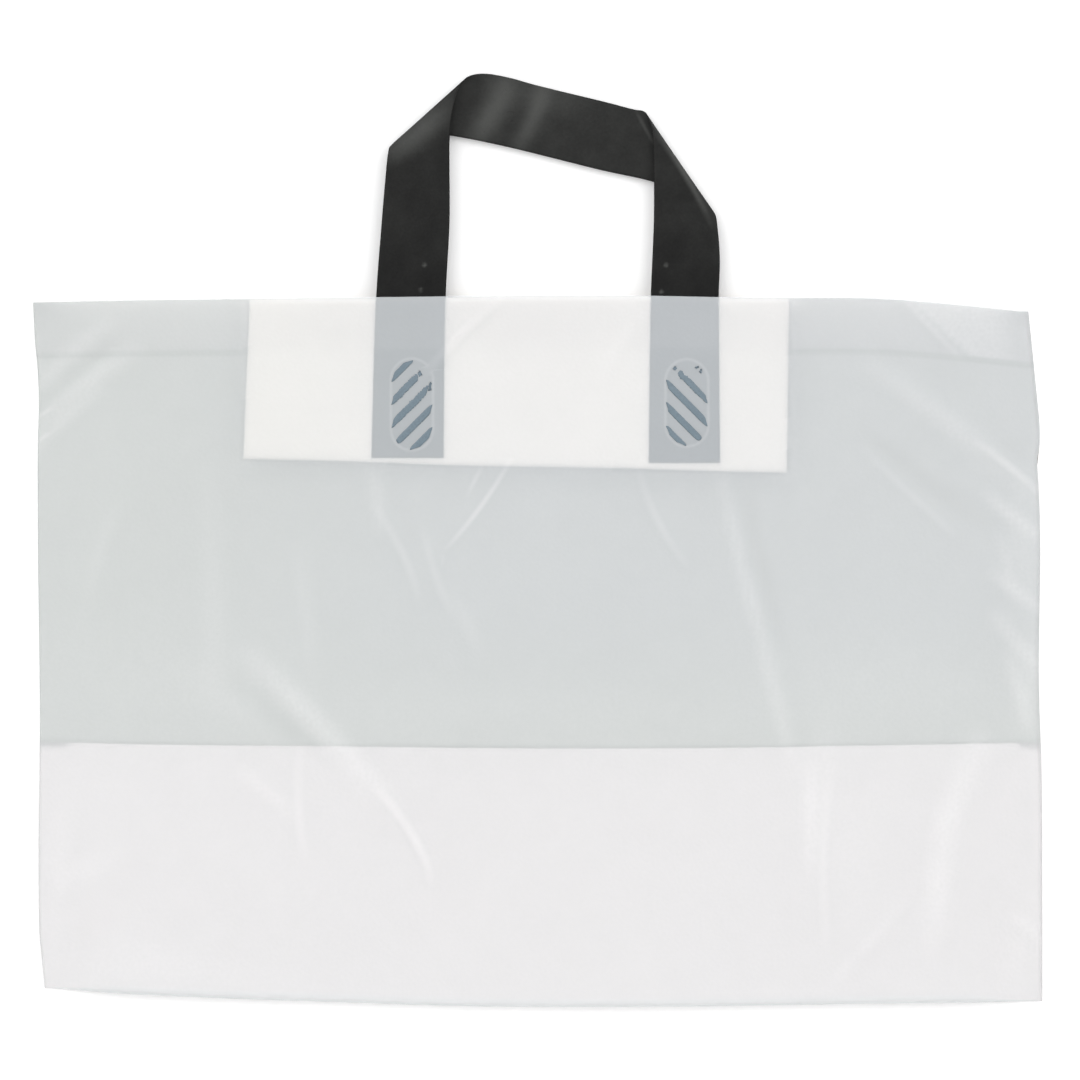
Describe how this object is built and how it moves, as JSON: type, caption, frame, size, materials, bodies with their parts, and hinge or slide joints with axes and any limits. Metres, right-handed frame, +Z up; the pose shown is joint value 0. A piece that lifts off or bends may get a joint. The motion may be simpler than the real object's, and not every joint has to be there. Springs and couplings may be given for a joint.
{
  "type": "film carrier bag with soft loop handles",
  "caption": "Flat-lying frosted film carrier bag with a pleated bottom, turned-in hem, inner strengthening patches and soft band loop handles.",
  "frame": {"origin": "the middle of the footprint of the bag and its loops, on the surface that it lies on", "axes": "+X across the bag from the left side weld to the right one, +Y from the bottom fold to the handles, +Z up through the layers, out of the front panel"},
  "size_m": [0.5172, 0.4726, 0.0102],
  "materials": {
    "frosted_film": "frosted see-through film with a soft sheen and fine creases",
    "white_film": "milky white film, satin",
    "black_film": "smooth black film with a silky sheen"
  },
  "bodies": {
    "root": {"bag_body": "frosted_film", "front_handle": "black_film", "back_handle": "black_film", "front_patch": "white_film", "back_patch": "white_film"}
  },
  "joints": []
}
